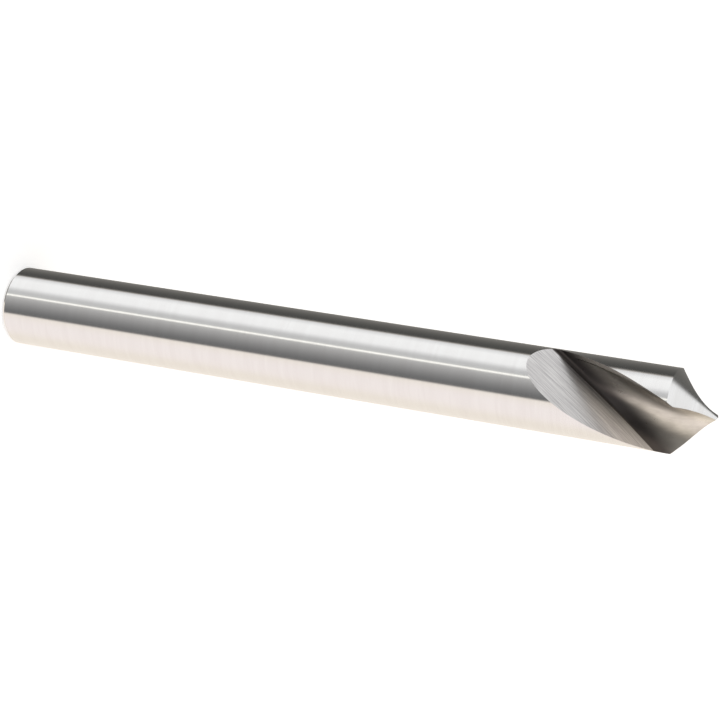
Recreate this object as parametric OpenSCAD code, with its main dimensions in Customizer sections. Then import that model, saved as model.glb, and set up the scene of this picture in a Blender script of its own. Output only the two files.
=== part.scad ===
// Spotting drill: a short-fluted, right-hand solid carbide or tool-steel bar with a ninety-degree point.
// It stands on its shank end, with the axis along Z and the chisel edge at the top.
// Both flutes are ground by a wheel with a rounded rim, which follows a helix down from the
// point and stops at the run-out, where its flank leaves a slanting wall.

/* [Shank] */
// Diameter of the shank, which is the cutting diameter too
shank_d = 9.525; // [8:0.025:12]
// Length from the shank end to the chisel edge
overall_l = 88.9; // [60:0.1:140]
// Width of the chamfer round the shank end
end_chamfer = 0.4; // [0.1:0.05:1]

/* [Point] */
// Angle of the point between opposite flanks
point_angle = 90; // [82:1:120]
// Distance that each flank's cone stands off the drill's axis, which gives the lips their relief
point_relief = 0.54; // [0.3:0.02:0.7]
// Direction, round the axis from X, in which the flank falls away most
relief_turn = 45; // [25:1:60]

/* [Flutes] */
// Distance along the axis for one full turn of the flutes
flute_lead = 67; // [60:1:74]
// Distance from the chisel edge back to the rim of the wheel where it stops
run_out = 20.6; // [18:0.1:25]
// Distance past the axis that the rim would reach beside it, which sets the web
rim_past_axis = 0.4; // [0.3:0.05:0.5]
// Sideways distance from the axis to the rim's deepest point
rim_side = 6.05; // [5.75:0.05:6.3]
// Diameter of the grinding wheel
wheel_d = 145; // [125:1:170]
// Radius of the wheel's rim, left along the root of each flute
rim_r = 0.45; // [0.3:0.05:0.7]
// Angle between the wheel's axis and the drill's axis
wheel_tilt = 55.4; // [54:0.1:57]
// Direction of the wheel's axis round the drill's axis, from X
wheel_turn = 16.5; // [12:0.5:21]
// Angle of the wheel's flank that leaves the run-out wall, from the wheel's own plane
wall_flank = 30.6; // [29:0.1:32]
// Angle of the wheel's flank that leaves the rake face, from the wheel's rim
rake_flank = 30.9; // [28:0.1:34]

/* [Hidden] */
$fn = 96;

flute_count = 2;
shank_r = shank_d / 2;
apex_z = overall_l + point_relief / tan(point_angle / 2);
clear = 1;

// How far the wheel's flanks and its hidden back are followed, all of it outside the blank
flank_reach = 1.7 * shank_r;
back_reach = 2.5 * shank_r;
entry_reach = 2.75 * shank_r;
back_angle = 10;

// Steps along the flank, round the rim, along the standing wheel and down the helix
wall_steps = 8;
rim_steps = 16;
standing_steps = 14;
helix_steps = 26;

// The wheel's frame where it stops: its axis, the way to its centre and the way up the groove
wheel_r = wheel_d / 2;
wheel_axis = [sin(wheel_tilt) * cos(wheel_turn), sin(wheel_tilt) * sin(wheel_turn), cos(wheel_tilt)];
to_centre = [-sin(wheel_turn), cos(wheel_turn), 0];
up_groove = cross(wheel_axis, to_centre);
rim_point = [rim_side * cos(wheel_turn), rim_side * sin(wheel_turn), overall_l - run_out]
    - rim_past_axis * to_centre;
wheel_centre = rim_point + wheel_r * to_centre;
rise_per_turn = flute_lead / 360 * 180 / PI;
entry_angle = -asin(entry_reach / wheel_r);

// The wheel's profile: place along its axis, place out from its rim, and the same two of its normal
function rim_spot(a) = [rim_r * cos(a), rim_r * (sin(a) - 1), cos(a), sin(a)];
function slide_along(q, s) = [q[0] - s * q[3], q[1] + s * q[2], q[2], q[3]];
wall_normal = 180 - wall_flank;
rake_normal = 90 - rake_flank;
wheel_profile = [
    for (i = [wall_steps : -1 : 1]) slide_along(rim_spot(wall_normal), flank_reach * pow(i / wall_steps, 1.5)),
    for (i = [0 : rim_steps]) rim_spot(wall_normal + (rake_normal - wall_normal) * i / rim_steps),
    for (share = [0.35, 0.65, 1]) slide_along(rim_spot(rake_normal), -flank_reach * share)
];
wheel_back = [0, -back_reach, 0, 0];

// A point of the wheel, at an angle from its deepest point towards the drill's tip
function wheel_point(q, a) = wheel_centre + q[0] * wheel_axis
    + (wheel_r + q[1]) * (sin(a) * up_groove - cos(a) * to_centre);

// The angle at which that ring of the wheel only slides along the flute instead of cutting:
// there its normal is square to the helical motion
function contact_angle(q) = let (
        still = q[2] * (cross(wheel_centre, wheel_axis)[2] + rise_per_turn * wheel_axis[2]),
        inward = -q[3] * cross(wheel_centre, to_centre)[2]
            - (q[0] * q[3] - (wheel_r + q[1]) * q[2]) * up_groove[2],
        upward = q[3] * (cross(wheel_centre, up_groove)[2] + rise_per_turn * up_groove[2]),
        share = -still / norm([inward, upward])
    ) atan2(upward, inward) - acos(max(-1, min(1, share)));

function along_helix(p, rise) = let (turn = 360 * rise / flute_lead)
    [p[0] * cos(turn) - p[1] * sin(turn), p[0] * sin(turn) + p[1] * cos(turn), p[2] + rise];

// One ring of points for each step: first round the standing wheel, then up the helix until
// the whole ring lies level above the tip
closed_profile = [each wheel_profile, wheel_back];
contacts = [for (q = wheel_profile) contact_angle(q), back_angle];
last_cut = [for (j = [0 : len(contacts) - 1]) wheel_point(closed_profile[j], contacts[j])];
flute_top = apex_z + clear;
ring_size = len(closed_profile);
ring_count = standing_steps + helix_steps + 1;
flute_points = [
    for (i = [0 : standing_steps - 1])
        for (j = [0 : ring_size - 1])
            wheel_point(closed_profile[j], entry_angle + (contacts[j] - entry_angle) * i / standing_steps),
    for (i = [0 : helix_steps])
        for (p = last_cut) along_helix(p, (flute_top - p[2]) * i / helix_steps)
];

// Each four-sided patch between two rings is split along its shorter diagonal
function split(a, b, c, d) = norm(flute_points[a] - flute_points[c]) < norm(flute_points[b] - flute_points[d])
    ? [[a, b, c], [a, c, d]]
    : [[a, b, d], [b, c, d]];
function corner(i, j) = i * ring_size + j % ring_size;
flute_faces = [
    for (i = [0 : ring_count - 2])
        for (j = [0 : ring_size - 1])
            each split(corner(i, j), corner(i + 1, j), corner(i + 1, j + 1), corner(i, j + 1)),
    [for (j = [0 : ring_size - 1]) corner(0, j)],
    [for (j = [ring_size - 1 : -1 : 0]) corner(ring_count - 1, j)]
];

// Round bar with its chamfered end, before the point is ground
module blank() {
    rotate_extrude()
        polygon([
            [0, 0],
            [shank_r - end_chamfer, 0],
            [shank_r, end_chamfer],
            [shank_r, apex_z],
            [0, apex_z]
        ]);
}

// Cone on which one lip's flank lies, standing off the axis away from that lip's heel
module flank_cone() {
    cone_h = apex_z + clear;
    translate([-point_relief * cos(relief_turn), -point_relief * sin(relief_turn), apex_z - cone_h])
        cylinder(h = cone_h, r1 = cone_h * tan(point_angle / 2), r2 = 0);
}

// Everything that the wheel grinds away on its way from the point to the run-out
module flute() {
    polyhedron(points = flute_points, faces = flute_faces, convexity = 6);
}

module spotting_drill() {
    color([0.72, 0.71, 0.69])
        difference() {
            intersection() {
                blank();
                flank_cone();
                rotate([0, 0, 180]) flank_cone();
            }
            for (i = [0 : flute_count - 1])
                rotate([0, 0, i * 360 / flute_count]) flute();
        }
}

spotting_drill();
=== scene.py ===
import math

import bpy
import numpy as np
from mathutils import Matrix, Vector


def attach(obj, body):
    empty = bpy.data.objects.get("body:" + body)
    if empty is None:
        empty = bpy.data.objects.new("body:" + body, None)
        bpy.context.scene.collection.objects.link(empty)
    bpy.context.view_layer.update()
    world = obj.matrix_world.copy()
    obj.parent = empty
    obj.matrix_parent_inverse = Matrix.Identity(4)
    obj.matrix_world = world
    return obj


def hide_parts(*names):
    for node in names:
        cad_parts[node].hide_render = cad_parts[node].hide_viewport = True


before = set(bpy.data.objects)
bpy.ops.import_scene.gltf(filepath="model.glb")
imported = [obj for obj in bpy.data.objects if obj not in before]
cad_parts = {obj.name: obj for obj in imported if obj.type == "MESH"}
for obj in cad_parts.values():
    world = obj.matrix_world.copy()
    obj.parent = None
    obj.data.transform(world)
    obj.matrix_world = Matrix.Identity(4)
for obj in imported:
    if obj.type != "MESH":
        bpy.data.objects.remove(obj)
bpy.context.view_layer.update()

millimetre = 0.001


# The drill itself, in millimetres and degrees, with the same sizes as the CAD source
drillShape = {
    "shankDiameter": 9.525,
    "overallLength": 88.9,
    "endChamfer": 0.4,
    "pointAngle": 90,
    "pointRelief": 0.54,      # how far each flank's cone stands off the axis
    "reliefTurn": 45,         # direction of that, from X
    "fluteLead": 67,
    "runOut": 20.6,           # chisel edge back to the rim of the standing wheel
    "rimPastAxis": 0.4,
    "rimSide": 6.05,
    "wheelDiameter": 145,
    "rimRadius": 0.45,
    "wheelTilt": 55.4,
    "wheelTurn": 16.5,
    "wallFlank": 30.6,
    "rakeFlank": 30.9,
    "middleHeight": 60,       # an extra ring on the shank, below the flutes
    "wheelReach": 8.09625,    # how far the wheel's flanks are followed, all past the blank
    "backReach": 11.90625,    # how far the hidden back of the cut lies from the rim
    "entryReach": 13.096875,  # how far below the stop the wheel's imprint begins
    "backAngle": 10,
    "clearTop": 1,            # how far the cuts pass above the tip
    "coneReach": 7.14375,     # radius of each flank's cone at its foot
    "roundSteps": 288,        # sides of every turned surface
    "wallSteps": 16,
    "rimSteps": 40,
    "rakeSteps": 8,
    "standingSteps": 44,
    "helixSteps": 96,
}


def turnedMesh(name, outline, centre, steps, materialIndex):
    # a closed lathed solid; outline is (radius, height) from the bottom's middle to the top's middle
    angles = np.arange(steps) * 2 * math.pi / steps
    points, faces = [(centre[0], centre[1], outline[0][1])], []
    for radius, height in outline[1:-1]:
        points += [(centre[0] + radius * math.cos(a), centre[1] + radius * math.sin(a), height)
                   for a in angles]
    points.append((centre[0], centre[1], outline[-1][1]))
    ringCount, last = len(outline) - 2, len(points) - 1
    for k in range(steps):
        after = (k + 1) % steps
        faces.append((0, 1 + after, 1 + k))
        for ring in range(ringCount - 1):
            low, high = 1 + ring * steps, 1 + (ring + 1) * steps
            faces.append((low + k, low + after, high + after, high + k))
        top = 1 + (ringCount - 1) * steps
        faces.append((top + k, top + after, last))
    return meshObject(name, points, faces, materialIndex)


def meshObject(name, points, faces, materialIndex):
    mesh = bpy.data.meshes.new(name)
    mesh.from_pydata([tuple(c * millimetre for c in p) for p in points], [], faces)
    mesh.polygons.foreach_set("material_index", [materialIndex] * len(mesh.polygons))
    made = bpy.data.objects.new(name, mesh)
    bpy.context.scene.collection.objects.link(made)
    return made


def grindingWheel(shape):
    # where the wheel stands at the run-out: its axis, the way to its centre and the way up the groove
    tilt, turn = math.radians(shape["wheelTilt"]), math.radians(shape["wheelTurn"])
    axis = np.array([math.sin(tilt) * math.cos(turn), math.sin(tilt) * math.sin(turn), math.cos(tilt)])
    toCentre = np.array([-math.sin(turn), math.cos(turn), 0.0])
    rim = np.array([shape["rimSide"] * math.cos(turn), shape["rimSide"] * math.sin(turn),
                    shape["overallLength"] - shape["runOut"]]) - shape["rimPastAxis"] * toCentre
    radius = shape["wheelDiameter"] / 2
    return {"axis": axis, "toCentre": toCentre, "upGroove": np.cross(axis, toCentre),
            "radius": radius, "centre": rim + radius * toCentre}


def wheelProfile(shape):
    # rows of place along the wheel's axis, place out from its rim, and the same two of the normal
    reach, rimRadius = shape["wheelReach"], shape["rimRadius"]
    wallNormal = math.radians(180 - shape["wallFlank"])
    rakeNormal = math.radians(90 - shape["rakeFlank"])

    def rimSpot(a):
        across, outward = math.cos(a), math.sin(a)
        return np.array([rimRadius * across, rimRadius * (outward - 1), across, outward])

    def slideAlong(spot, s):
        return np.array([spot[0] - s * spot[3], spot[1] + s * spot[2], spot[2], spot[3]])

    wall, rim, rake = shape["wallSteps"], shape["rimSteps"], shape["rakeSteps"]
    crowding = 1.5      # the wall's rows stand closer together near the rim
    rows = [slideAlong(rimSpot(wallNormal), reach * (i / wall) ** crowding) for i in range(wall, 0, -1)]
    rows += [rimSpot(wallNormal + (rakeNormal - wallNormal) * i / rim) for i in range(rim + 1)]
    rows += [slideAlong(rimSpot(rakeNormal), -reach * i / rake) for i in range(1, rake + 1)]
    return np.array(rows)


def apexOf(shape):
    # the height at which the cones of the point come to their tips
    return shape["overallLength"] + shape["pointRelief"] / math.tan(math.radians(shape["pointAngle"] / 2))


def fluteMesh(name, shape, halfTurn, materialIndex):
    # everything one pass of the wheel grinds away, with the ground surface's normals and lengths
    wheel, profile = grindingWheel(shape), wheelProfile(shape)
    cutTop = apexOf(shape) + shape["clearTop"]
    risePerTurn = shape["fluteLead"] / (2 * math.pi)
    axis, toCentre, upGroove = wheel["axis"], wheel["toCentre"], wheel["upGroove"]
    crossAxis = np.cross(wheel["centre"], axis)[2]
    crossCentre = np.cross(wheel["centre"], toCentre)[2]
    crossUp = np.cross(wheel["centre"], upGroove)[2]

    def contactAngle(q):
        still = q[2] * (crossAxis + risePerTurn * axis[2])
        inward = -q[3] * crossCentre - (q[0] * q[3] - (wheel["radius"] + q[1]) * q[2]) * upGroove[2]
        upward = q[3] * (crossUp + risePerTurn * upGroove[2])
        share = max(-1.0, min(1.0, -still / math.hypot(inward, upward)))
        return math.atan2(upward, inward) - math.acos(share)

    def wheelPoint(q, a):
        out = math.sin(a) * upGroove - math.cos(a) * toCentre
        place = wheel["centre"] + q[0] * axis + (wheel["radius"] + q[1]) * out
        return place, -(q[2] * axis + q[3] * out)

    def alongHelix(v, rise):
        turn = 2 * math.pi * rise / shape["fluteLead"]
        return np.array([v[0] * math.cos(turn) - v[1] * math.sin(turn),
                         v[0] * math.sin(turn) + v[1] * math.cos(turn), v[2]])

    rows = np.vstack([profile, [0, -shape["backReach"], 0, 0]])
    contacts = [contactAngle(q) for q in profile] + [math.radians(shape["backAngle"])]
    entry = -math.asin(shape["entryReach"] / wheel["radius"])
    standing, helix, size = shape["standingSteps"], shape["helixSteps"], len(rows)
    points, normals = [], []
    for i in range(standing):
        for q, contact in zip(rows, contacts):
            point, normal = wheelPoint(q, entry + (contact - entry) * i / standing)
            points.append(point)
            normals.append(normal)
    lastCut = [wheelPoint(q, contact) for q, contact in zip(rows, contacts)]
    for i in range(helix + 1):
        for point, normal in lastCut:
            rise = (cutTop - point[2]) * i / helix
            points.append(alongHelix(point, rise) + np.array([0, 0, rise]))
            normals.append(alongHelix(normal, rise))
    points, normals = np.array(points), np.array(normals)
    rings = standing + helix + 1
    across = np.concatenate([[0], np.cumsum(np.hypot(*np.diff(profile[:, :2], axis=0).T)), [0]])
    grid = points.reshape(rings, size, 3)
    along = np.vstack([np.zeros(size), np.cumsum(np.linalg.norm(np.diff(grid, axis=0), axis=2), axis=0)])
    fromWheel = points - wheel["centre"]
    onAxis = fromWheel @ axis
    outward = np.linalg.norm(fromWheel - np.outer(onAxis, axis), axis=1) - wheel["radius"]
    rootRow = shape["wallSteps"]
    fromRoot = np.hypot(onAxis - profile[rootRow, 0], outward - profile[rootRow, 1]).reshape(rings, size)
    fromRoot[:, :rootRow] *= -1     # the wall's side of the root counts as negative
    faces = []
    for i in range(rings - 1):
        for j in range(size):
            after = (j + 1) % size
            a, b, c, d = i * size + j, (i + 1) * size + j, (i + 1) * size + after, i * size + after
            if np.linalg.norm(points[a] - points[c]) < np.linalg.norm(points[b] - points[d]):
                faces += [(a, c, b), (a, d, c)]
            else:
                faces += [(a, d, b), (b, d, c)]
    faces.append(tuple(range(size - 1, -1, -1)))
    faces.append(tuple((rings - 1) * size + j for j in range(size)))
    if halfTurn:
        points[:, :2] *= -1
        normals[:, :2] *= -1
    made = meshObject(name, points, faces, materialIndex)
    corners = np.array([loop.vertex_index for loop in made.data.loops])
    groundNormal = made.data.attributes.new("groundNormal", "FLOAT_VECTOR", "CORNER")
    groundNormal.data.foreach_set("vector", normals[corners].ravel())
    for layer, first in (("groundLength", np.tile(across, rings)), ("rootDistance", fromRoot.ravel())):
        lengths = np.stack([first, along.ravel()], axis=1)
        made.data.uv_layers.new(name=layer).data.foreach_set("uv", lengths[corners].ravel())
    return made


def cutTogether(blank, tools):
    # the blank after all its cuts, as one new mesh
    for operation, tool in tools:
        cut = blank.modifiers.new(tool.name, "BOOLEAN")
        cut.operation, cut.object, cut.solver, cut.material_mode = operation, tool, "MANIFOLD", "INDEX"
    evaluated = blank.evaluated_get(bpy.context.evaluated_depsgraph_get())
    mesh = bpy.data.meshes.new_from_object(evaluated)
    for made in [blank] + [tool for operation, tool in tools]:
        bpy.data.objects.remove(made)
    return mesh


def makeDrill(shape, finishes):
    shankRadius, chamfer = shape["shankDiameter"] / 2, shape["endChamfer"]
    slope = math.tan(math.radians(shape["pointAngle"] / 2))
    apexHeight, steps = apexOf(shape), shape["roundSteps"]
    turn = math.radians(shape["reliefTurn"])
    blank = turnedMesh("blank", [(0, 0), (shankRadius - chamfer, 0), (shankRadius, chamfer),
                                 (shankRadius, shape["middleHeight"]), (shankRadius, apexHeight),
                                 (0, apexHeight)], (0, 0), steps, 0)
    for material in finishes:
        blank.data.materials.append(material)
    tools = []
    coneReach, coneFoot = shape["coneReach"], -shape["clearTop"]
    for side in (-1, 1):
        away = side * shape["pointRelief"]
        centre = (away * math.cos(turn), away * math.sin(turn))
        outline = [(0, coneFoot), (coneReach, coneFoot),
                   (coneReach, apexHeight - coneReach / slope), (0, apexHeight)]
        tools.append(("INTERSECT", turnedMesh("pointCone%d" % (side + 1), outline, centre, steps, 1)))
    for halfTurn in (False, True):
        tools.append(("DIFFERENCE", fluteMesh("flute%d" % halfTurn, shape, halfTurn, 2)))
    mesh = cutTogether(blank, tools)
    mesh.name = "spottingDrill"
    smoothGround(mesh, shape)
    made = bpy.data.objects.new("groundSpottingDrill", mesh)
    bpy.context.scene.collection.objects.link(made)
    return made


def smoothGround(mesh, shape):
    # exact normals for every ground surface, so that it shades as the round surface that it is
    chamfer, half = shape["endChamfer"], math.radians(shape["pointAngle"] / 2)
    turn = math.radians(shape["reliefTurn"])
    offset = shape["pointRelief"] * np.array([math.cos(turn), math.sin(turn)])
    stored = mesh.attributes["groundNormal"].data
    flat, tiny = 1e-4, 1e-9     # the end face lies below the first, and no length divides by less
    normals = []
    for polygon in mesh.polygons:
        middle = np.array(polygon.center) / millimetre
        for corner in polygon.loop_indices:
            place = np.array(mesh.vertices[mesh.loops[corner].vertex_index].co) / millimetre
            if polygon.material_index == 0:
                out = np.array([place[0], place[1], 0.0])
                out /= max(np.linalg.norm(out), tiny)
                if middle[2] < flat:
                    out = np.array([0, 0, -1.0])
                elif middle[2] < chamfer:
                    out = (out + np.array([0, 0, -1.0])) / math.sqrt(2)
            elif polygon.material_index == 1:
                far = max((offset, -offset), key=lambda c: np.linalg.norm(middle[:2] - c))
                out = np.append((place[:2] - far) / np.linalg.norm(place[:2] - far) * math.cos(half),
                                math.sin(half))
            else:
                out = np.array(stored[corner].vector)
                out /= max(np.linalg.norm(out), tiny)
            normals.append(out)
    mesh.polygons.foreach_set("use_smooth", [True] * len(mesh.polygons))
    mesh.normals_split_custom_set([tuple(n) for n in normals])
    mesh.attributes.remove(mesh.attributes["groundNormal"])


def nodeMaker(tree):
    def add(kind, inputs=None, **settings):
        node = tree.nodes.new(kind)
        for name, value in settings.items():
            setattr(node, name, value)
        for name, value in (inputs or {}).items():
            if isinstance(value, bpy.types.NodeSocket):
                tree.links.new(value, node.inputs[name])
            else:
                node.inputs[name].default_value = value
        return node
    return add


def mapped(add, value, low, high, to=(0.0, 1.0), smooth=False):
    node = add("ShaderNodeMapRange", {0: value, 1: low, 2: high, 3: to[0], 4: to[1]})
    node.interpolation_type = "SMOOTHSTEP" if smooth else "LINEAR"
    return node.outputs[0]


def blended(add, factor, first, second):
    return add("ShaderNodeMix", {0: factor, 6: first, 7: second}, data_type="RGBA").outputs[2]


# Each ground finish: two colours, roughness, and the grinding lines' spacing, length and depth in
# millimetres. broad scales the wide patches against the lines: across them, then along them.
shankFinish = {
    "steel": (0.81, 0.81, 0.805, 1), "worn": (0.785, 0.78, 0.775, 1), "roughness": (0.10, 0.14),
    "lineSpacing": 0.09, "lineLength": 4.0, "lineDepth": 0.0002, "broad": (0.12, 0.5),
}
flankFinish = {
    "steel": (0.83, 0.83, 0.83, 1), "worn": (0.79, 0.785, 0.78, 1), "roughness": (0.12, 0.2),
    "lineSpacing": 0.07, "lineLength": 3.0, "lineDepth": 0.0004, "broad": (0.12, 0.5),
}
# The flute has a second pair of colours for its rake face, and a painted shade that darkens the root
# between that and the wall. The edges and fades are distances from the root in millimetres, less than 0
# on the wall.
fluteFinish = {
    "steel": (0.86, 0.85, 0.85, 1), "worn": (0.59, 0.58, 0.59, 1), "roughness": (0.27, 0.37),
    "lineSpacing": 0.07, "lineLength": 2.5, "lineDepth": 0.0025, "broad": (0.4, 0.35),
    "rake": (0.75, 0.72, 0.655, 1), "rakeWorn": (0.58, 0.555, 0.50, 1), "rakeEdge": (0.0, 0.4),
    # root is the painted shade's colour: the dark band in the flute's hollow is shade painted into the
    # colour, not the steel's own tone
    "root": (0.12, 0.11, 0.107, 1), "rootEdge": (-0.06, 0.04), "rootFade": (0.8, 3.1),
}
# For all three: where the noise turns from steel to worn and from the first roughness to the second,
# and the detail and roughness of the noise itself
grain = {"wear": (0.82, 1.18), "sheen": (0.3, 0.7), "lines": (3.0, 0.6), "patches": (2.0, 0.5)}


def groundMaterial(name, finish, placement):
    material = bpy.data.materials.new(name)
    material.use_nodes = True
    tree = material.node_tree
    tree.nodes.clear()
    add = nodeMaker(tree)
    across, along = 1 / finish["lineSpacing"], 1 / finish["lineLength"]
    broadAcross, broadAlong = finish["broad"][0] * across, finish["broad"][1] * along
    if placement == "groove":   # lines run along the flute: across, along, 0 in millimetres
        place = add("ShaderNodeUVMap", uv_map="groundLength").outputs[0]
        scales = (across, along, 1), (broadAcross, broadAlong, 1)
    else:                       # lines run round the axis
        place = add("ShaderNodeTexCoord").outputs["Object"]
        scales = [tuple(c / millimetre for c in scale) for scale in (
            (along, along, across), (broadAlong, broadAlong, broadAcross))]

    def noise(scale, detail, roughness):
        vector = add("ShaderNodeMapping", {"Vector": place, "Scale": scale}).outputs[0]
        return add("ShaderNodeTexNoise", {"Vector": vector, "Scale": 1.0, "Detail": detail,
                                          "Roughness": roughness}).outputs[0]

    lines, patches = noise(scales[0], *grain["lines"]), noise(scales[1], *grain["patches"])
    both = add("ShaderNodeMath", {0: lines, 1: patches}, operation="ADD").outputs[0]
    wear = mapped(add, both, *grain["wear"])
    colour = blended(add, wear, finish["steel"], finish["worn"])
    # Painted shade: the colour turns to root just past the wall and fades back out across the rake face
    if "root" in finish:
        distance = add("ShaderNodeUVMap", uv_map="rootDistance").outputs[0]
        fromRoot = add("ShaderNodeSeparateXYZ", {0: distance}).outputs[0]
        rake = blended(add, wear, finish["rake"], finish["rakeWorn"])
        onRake = mapped(add, fromRoot, *finish["rakeEdge"], smooth=True)
        colour = blended(add, onRake, colour, rake)
        pastEdge = mapped(add, fromRoot, *finish["rootEdge"], smooth=True)
        faded = mapped(add, fromRoot, *finish["rootFade"], (1.0, 0.0), True)
        inPaintedShade = add("ShaderNodeMath", {0: pastEdge, 1: faded}, operation="MULTIPLY").outputs[0]
        colour = blended(add, inPaintedShade, colour, finish["root"])
    roughness = mapped(add, lines, *grain["sheen"], finish["roughness"])
    bump = add("ShaderNodeBump", {"Height": lines, "Strength": 1.0,
                                  "Distance": finish["lineDepth"] * millimetre}).outputs[0]
    steel = add("ShaderNodeBsdfPrincipled", {"Base Color": colour, "Metallic": 1.0,
                                             "Roughness": roughness, "Normal": bump})
    add("ShaderNodeOutputMaterial", {"Surface": steel.outputs[0]})
    return material


drill = makeDrill(drillShape, [groundMaterial("groundShankSteel", shankFinish, "round"),
                               groundMaterial("groundFlankSteel", flankFinish, "round"),
                               groundMaterial("groundFluteSteel", fluteFinish, "groove")])
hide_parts("spotting_drill")
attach(drill, "root")
print("drill made:", len(drill.data.polygons), "faces")


# What the ground steel mirrors, as soft panels round the drill. Azimuth 0 is towards the camera and
# 90 towards -X, angles are in degrees, and each panel covers the ones before it. A panel's colour
# runs from start to end across its azimuth.
studio = {
    "room": (1.03, 0.945, 0.85),
    "panels": [
        {"name": "pinkWall", "azimuth": (-98, -40), "elevation": (-100, 100), "soft": (20, 4),
         "start": (1.09, 1.0, 0.96), "end": (1.08, 1.0, 0.98)},
        {"name": "darkSide", "azimuth": (94, 200), "elevation": (-100, 200), "soft": (8, 4),
         "start": (0.07, 0.07, 0.067), "end": (0.42, 0.40, 0.37), "bend": 1.5},
        {"name": "greyCard", "azimuth": (-31, 30), "elevation": (-100, 0), "soft": (3, 5),
         "start": (0.155, 0.155, 0.157), "end": (0.68, 0.67, 0.66), "bend": 1.5},
        {"name": "paleCard", "azimuth": (28, 94), "elevation": (-100, 0), "soft": (2, 5),
         "start": (0.62, 0.62, 0.62), "end": (0.85, 0.85, 0.86)},
        {"name": "paleCardMiddle", "azimuth": (46, 86), "elevation": (-100, 0), "soft": (10, 5),
         "start": (1.08, 1.08, 1.08), "end": (1.12, 1.12, 1.12)},
        {"name": "stripLight", "azimuth": (22.8, 27.4), "elevation": (-100, 0), "soft": (0.8, 5),
         "start": (1.4, 1.38, 1.3), "end": (1.4, 1.38, 1.3)},
        {"name": "wallCard", "azimuth": (64, 99), "elevation": (5, 30), "soft": (6, 5),
         "start": (0.70, 0.70, 0.69), "end": (0.70, 0.70, 0.69)},
        {"name": "upperCard", "azimuth": (-120, 111), "elevation": (27, 200), "soft": (6, 3),
         "start": (0.84, 0.83, 0.82), "end": (1.02, 1.02, 1.02)},
        {"name": "duskyCard", "azimuth": (-16, 56), "elevation": (-10, 27), "soft": (18, 3),
         "start": (0.13, 0.12, 0.115), "end": (0.07, 0.065, 0.062)},
    ],
}


def studioWorld(settings):
    world = bpy.data.worlds.new("studio")
    bpy.context.scene.world = world
    world.use_nodes = True
    tree = world.node_tree
    tree.nodes.clear()
    add = nodeMaker(tree)

    def maths(operation, first, second=0.0):
        return add("ShaderNodeMath", {0: first, 1: second}, operation=operation).outputs[0]

    direction = add("ShaderNodeSeparateXYZ", {0: add("ShaderNodeTexCoord").outputs["Generated"]}).outputs
    fromSide, fromFront = (maths("MULTIPLY", direction[k], -1.0) for k in (0, 1))
    azimuth = maths("DEGREES", maths("ARCTAN2", fromSide, fromFront))
    elevation = maths("DEGREES", maths("ARCSINE", direction[2]))
    colour = add("ShaderNodeRGB").outputs[0]
    colour.default_value = (*settings["room"], 1)
    for panel in settings["panels"]:
        inside = 1.0
        for angle, (low, high), soft in ((azimuth, panel["azimuth"], panel["soft"][0]),
                                         (elevation, panel["elevation"], panel["soft"][1])):
            rise = mapped(add, angle, low - soft, low + soft, smooth=True)
            fall = mapped(add, angle, high - soft, high + soft, (1.0, 0.0), smooth=True)
            inside = maths("MULTIPLY", inside, maths("MULTIPLY", rise, fall))
        along = maths("POWER", mapped(add, azimuth, *panel["azimuth"]), panel.get("bend", 1.0))
        shade = blended(add, along, (*panel["start"], 1), (*panel["end"], 1))
        colour = blended(add, inside, colour, shade)
    mirrored = add("ShaderNodeBackground", {"Color": colour, "Strength": 1.0}).outputs[0]
    seen = add("ShaderNodeBackground", {"Color": (1, 1, 1, 1), "Strength": 1.0}).outputs[0]
    mixed = add("ShaderNodeMixShader", {0: add("ShaderNodeLightPath").outputs["Is Camera Ray"],
                                        1: mirrored, 2: seen}).outputs[0]
    add("ShaderNodeOutputWorld", {"Surface": mixed})


# The floor's glow is only for the camera, so that the paper reads as white round its shadow
floorSettings = {"width": 6.0, "colour": (0.9, 0.9, 0.9, 1), "glow": 0.45}


def makeFloor(settings):
    half = settings["width"] / 2
    mesh = bpy.data.meshes.new("floor")
    corners = [(-half, -half, 0), (half, -half, 0), (half, half, 0), (-half, half, 0)]
    mesh.from_pydata(corners, [], [(0, 1, 2, 3)])
    floor = bpy.data.objects.new("floor", mesh)
    bpy.context.scene.collection.objects.link(floor)
    material = bpy.data.materials.new("paleFloor")
    material.use_nodes = True
    tree = material.node_tree
    tree.nodes.clear()
    add = nodeMaker(tree)
    paper = add("ShaderNodeBsdfDiffuse", {"Color": settings["colour"]}).outputs[0]
    seen = add("ShaderNodeLightPath").outputs["Is Camera Ray"]
    strength = mapped(add, seen, 0, 1, (0.0, settings["glow"]))
    glow = add("ShaderNodeEmission", {"Color": (1, 1, 1, 1), "Strength": strength}).outputs[0]
    both = add("ShaderNodeAddShader", {0: paper, 1: glow}).outputs[0]
    add("ShaderNodeOutputMaterial", {"Surface": both})
    mesh.materials.append(material)
    floor.visible_glossy = False    # the steel mirrors the studio panels instead


cameraSettings = {
    "place": (0.0, -0.2219685, 0.1401067),
    "right": (-0.1599811, 0.3842919, 0.9092446),
    "up": (-0.9871201, -0.0621487, -0.1474161),
    "lens": 103.731, "sensor": 36.0, "clip": (0.01, 10),
}


def makeCamera(settings):
    right, up = Vector(settings["right"]), Vector(settings["up"])
    back = right.cross(up)
    camera = bpy.data.objects.new("camera", bpy.data.cameras.new("camera"))
    bpy.context.scene.collection.objects.link(camera)
    camera.matrix_world = Matrix.LocRotScale(
        Vector(settings["place"]), Matrix((right, up, back)).transposed(), None)
    camera.data.lens, camera.data.sensor_width = settings["lens"], settings["sensor"]
    camera.data.clip_start, camera.data.clip_end = settings["clip"]
    bpy.context.scene.camera = camera


studioWorld(studio)
makeFloor(floorSettings)
makeCamera(cameraSettings)
bpy.context.scene.view_settings.view_transform = "Standard"
print("studio made")
